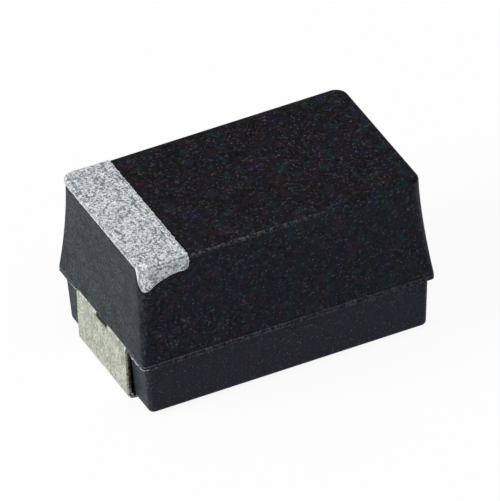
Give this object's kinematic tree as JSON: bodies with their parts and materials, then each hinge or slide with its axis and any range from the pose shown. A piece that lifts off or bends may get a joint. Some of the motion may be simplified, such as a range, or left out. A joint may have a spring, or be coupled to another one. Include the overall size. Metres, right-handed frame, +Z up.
{
  "type": "tantalum capacitor",
  "caption": "Moulded black chip capacitor with a stepped, drafted case, a silver polarity band across one end and folded flat terminals under both ends.",
  "frame": {"origin": "centre of the footprint on the board, in the plane of both feet's undersides", "axes": "+X along the length from the anode end with the band to the cathode end, +Y across the width, +Z up from the board"},
  "size_m": [0.0072, 0.0044, 0.0041],
  "materials": {
    "mould_compound": "matt black filled epoxy moulding with a fine sparkling grain",
    "band_print": "silver-white grainy marking print",
    "tinned_sheet": "matt tin plating on nickel-iron sheet, mottled pale grey",
    "sintered_tantalum": "dull porous dark grey sintered powder",
    "tantalum_wire": "drawn blue-grey metal",
    "white_washer": "waxy white fluoropolymer",
    "manganese_dioxide": "dull brown-black crust",
    "graphite": "dull dark grey dipped coat",
    "silver_paint": "matt silver flake paint",
    "silver_glue": "cured silver-filled adhesive"
  },
  "bodies": {
    "root": {"moulded_case": "mould_compound", "polarity_band": "band_print", "anode_terminal": "tinned_sheet", "cathode_terminal": "tinned_sheet", "tantalum_anode": "sintered_tantalum", "anode_wire": "tantalum_wire", "wire_washer": "white_washer", "manganese_dioxide_coat": "manganese_dioxide", "graphite_coat": "graphite", "silver_coat": "silver_paint", "silver_adhesive": "silver_glue"}
  },
  "joints": []
}
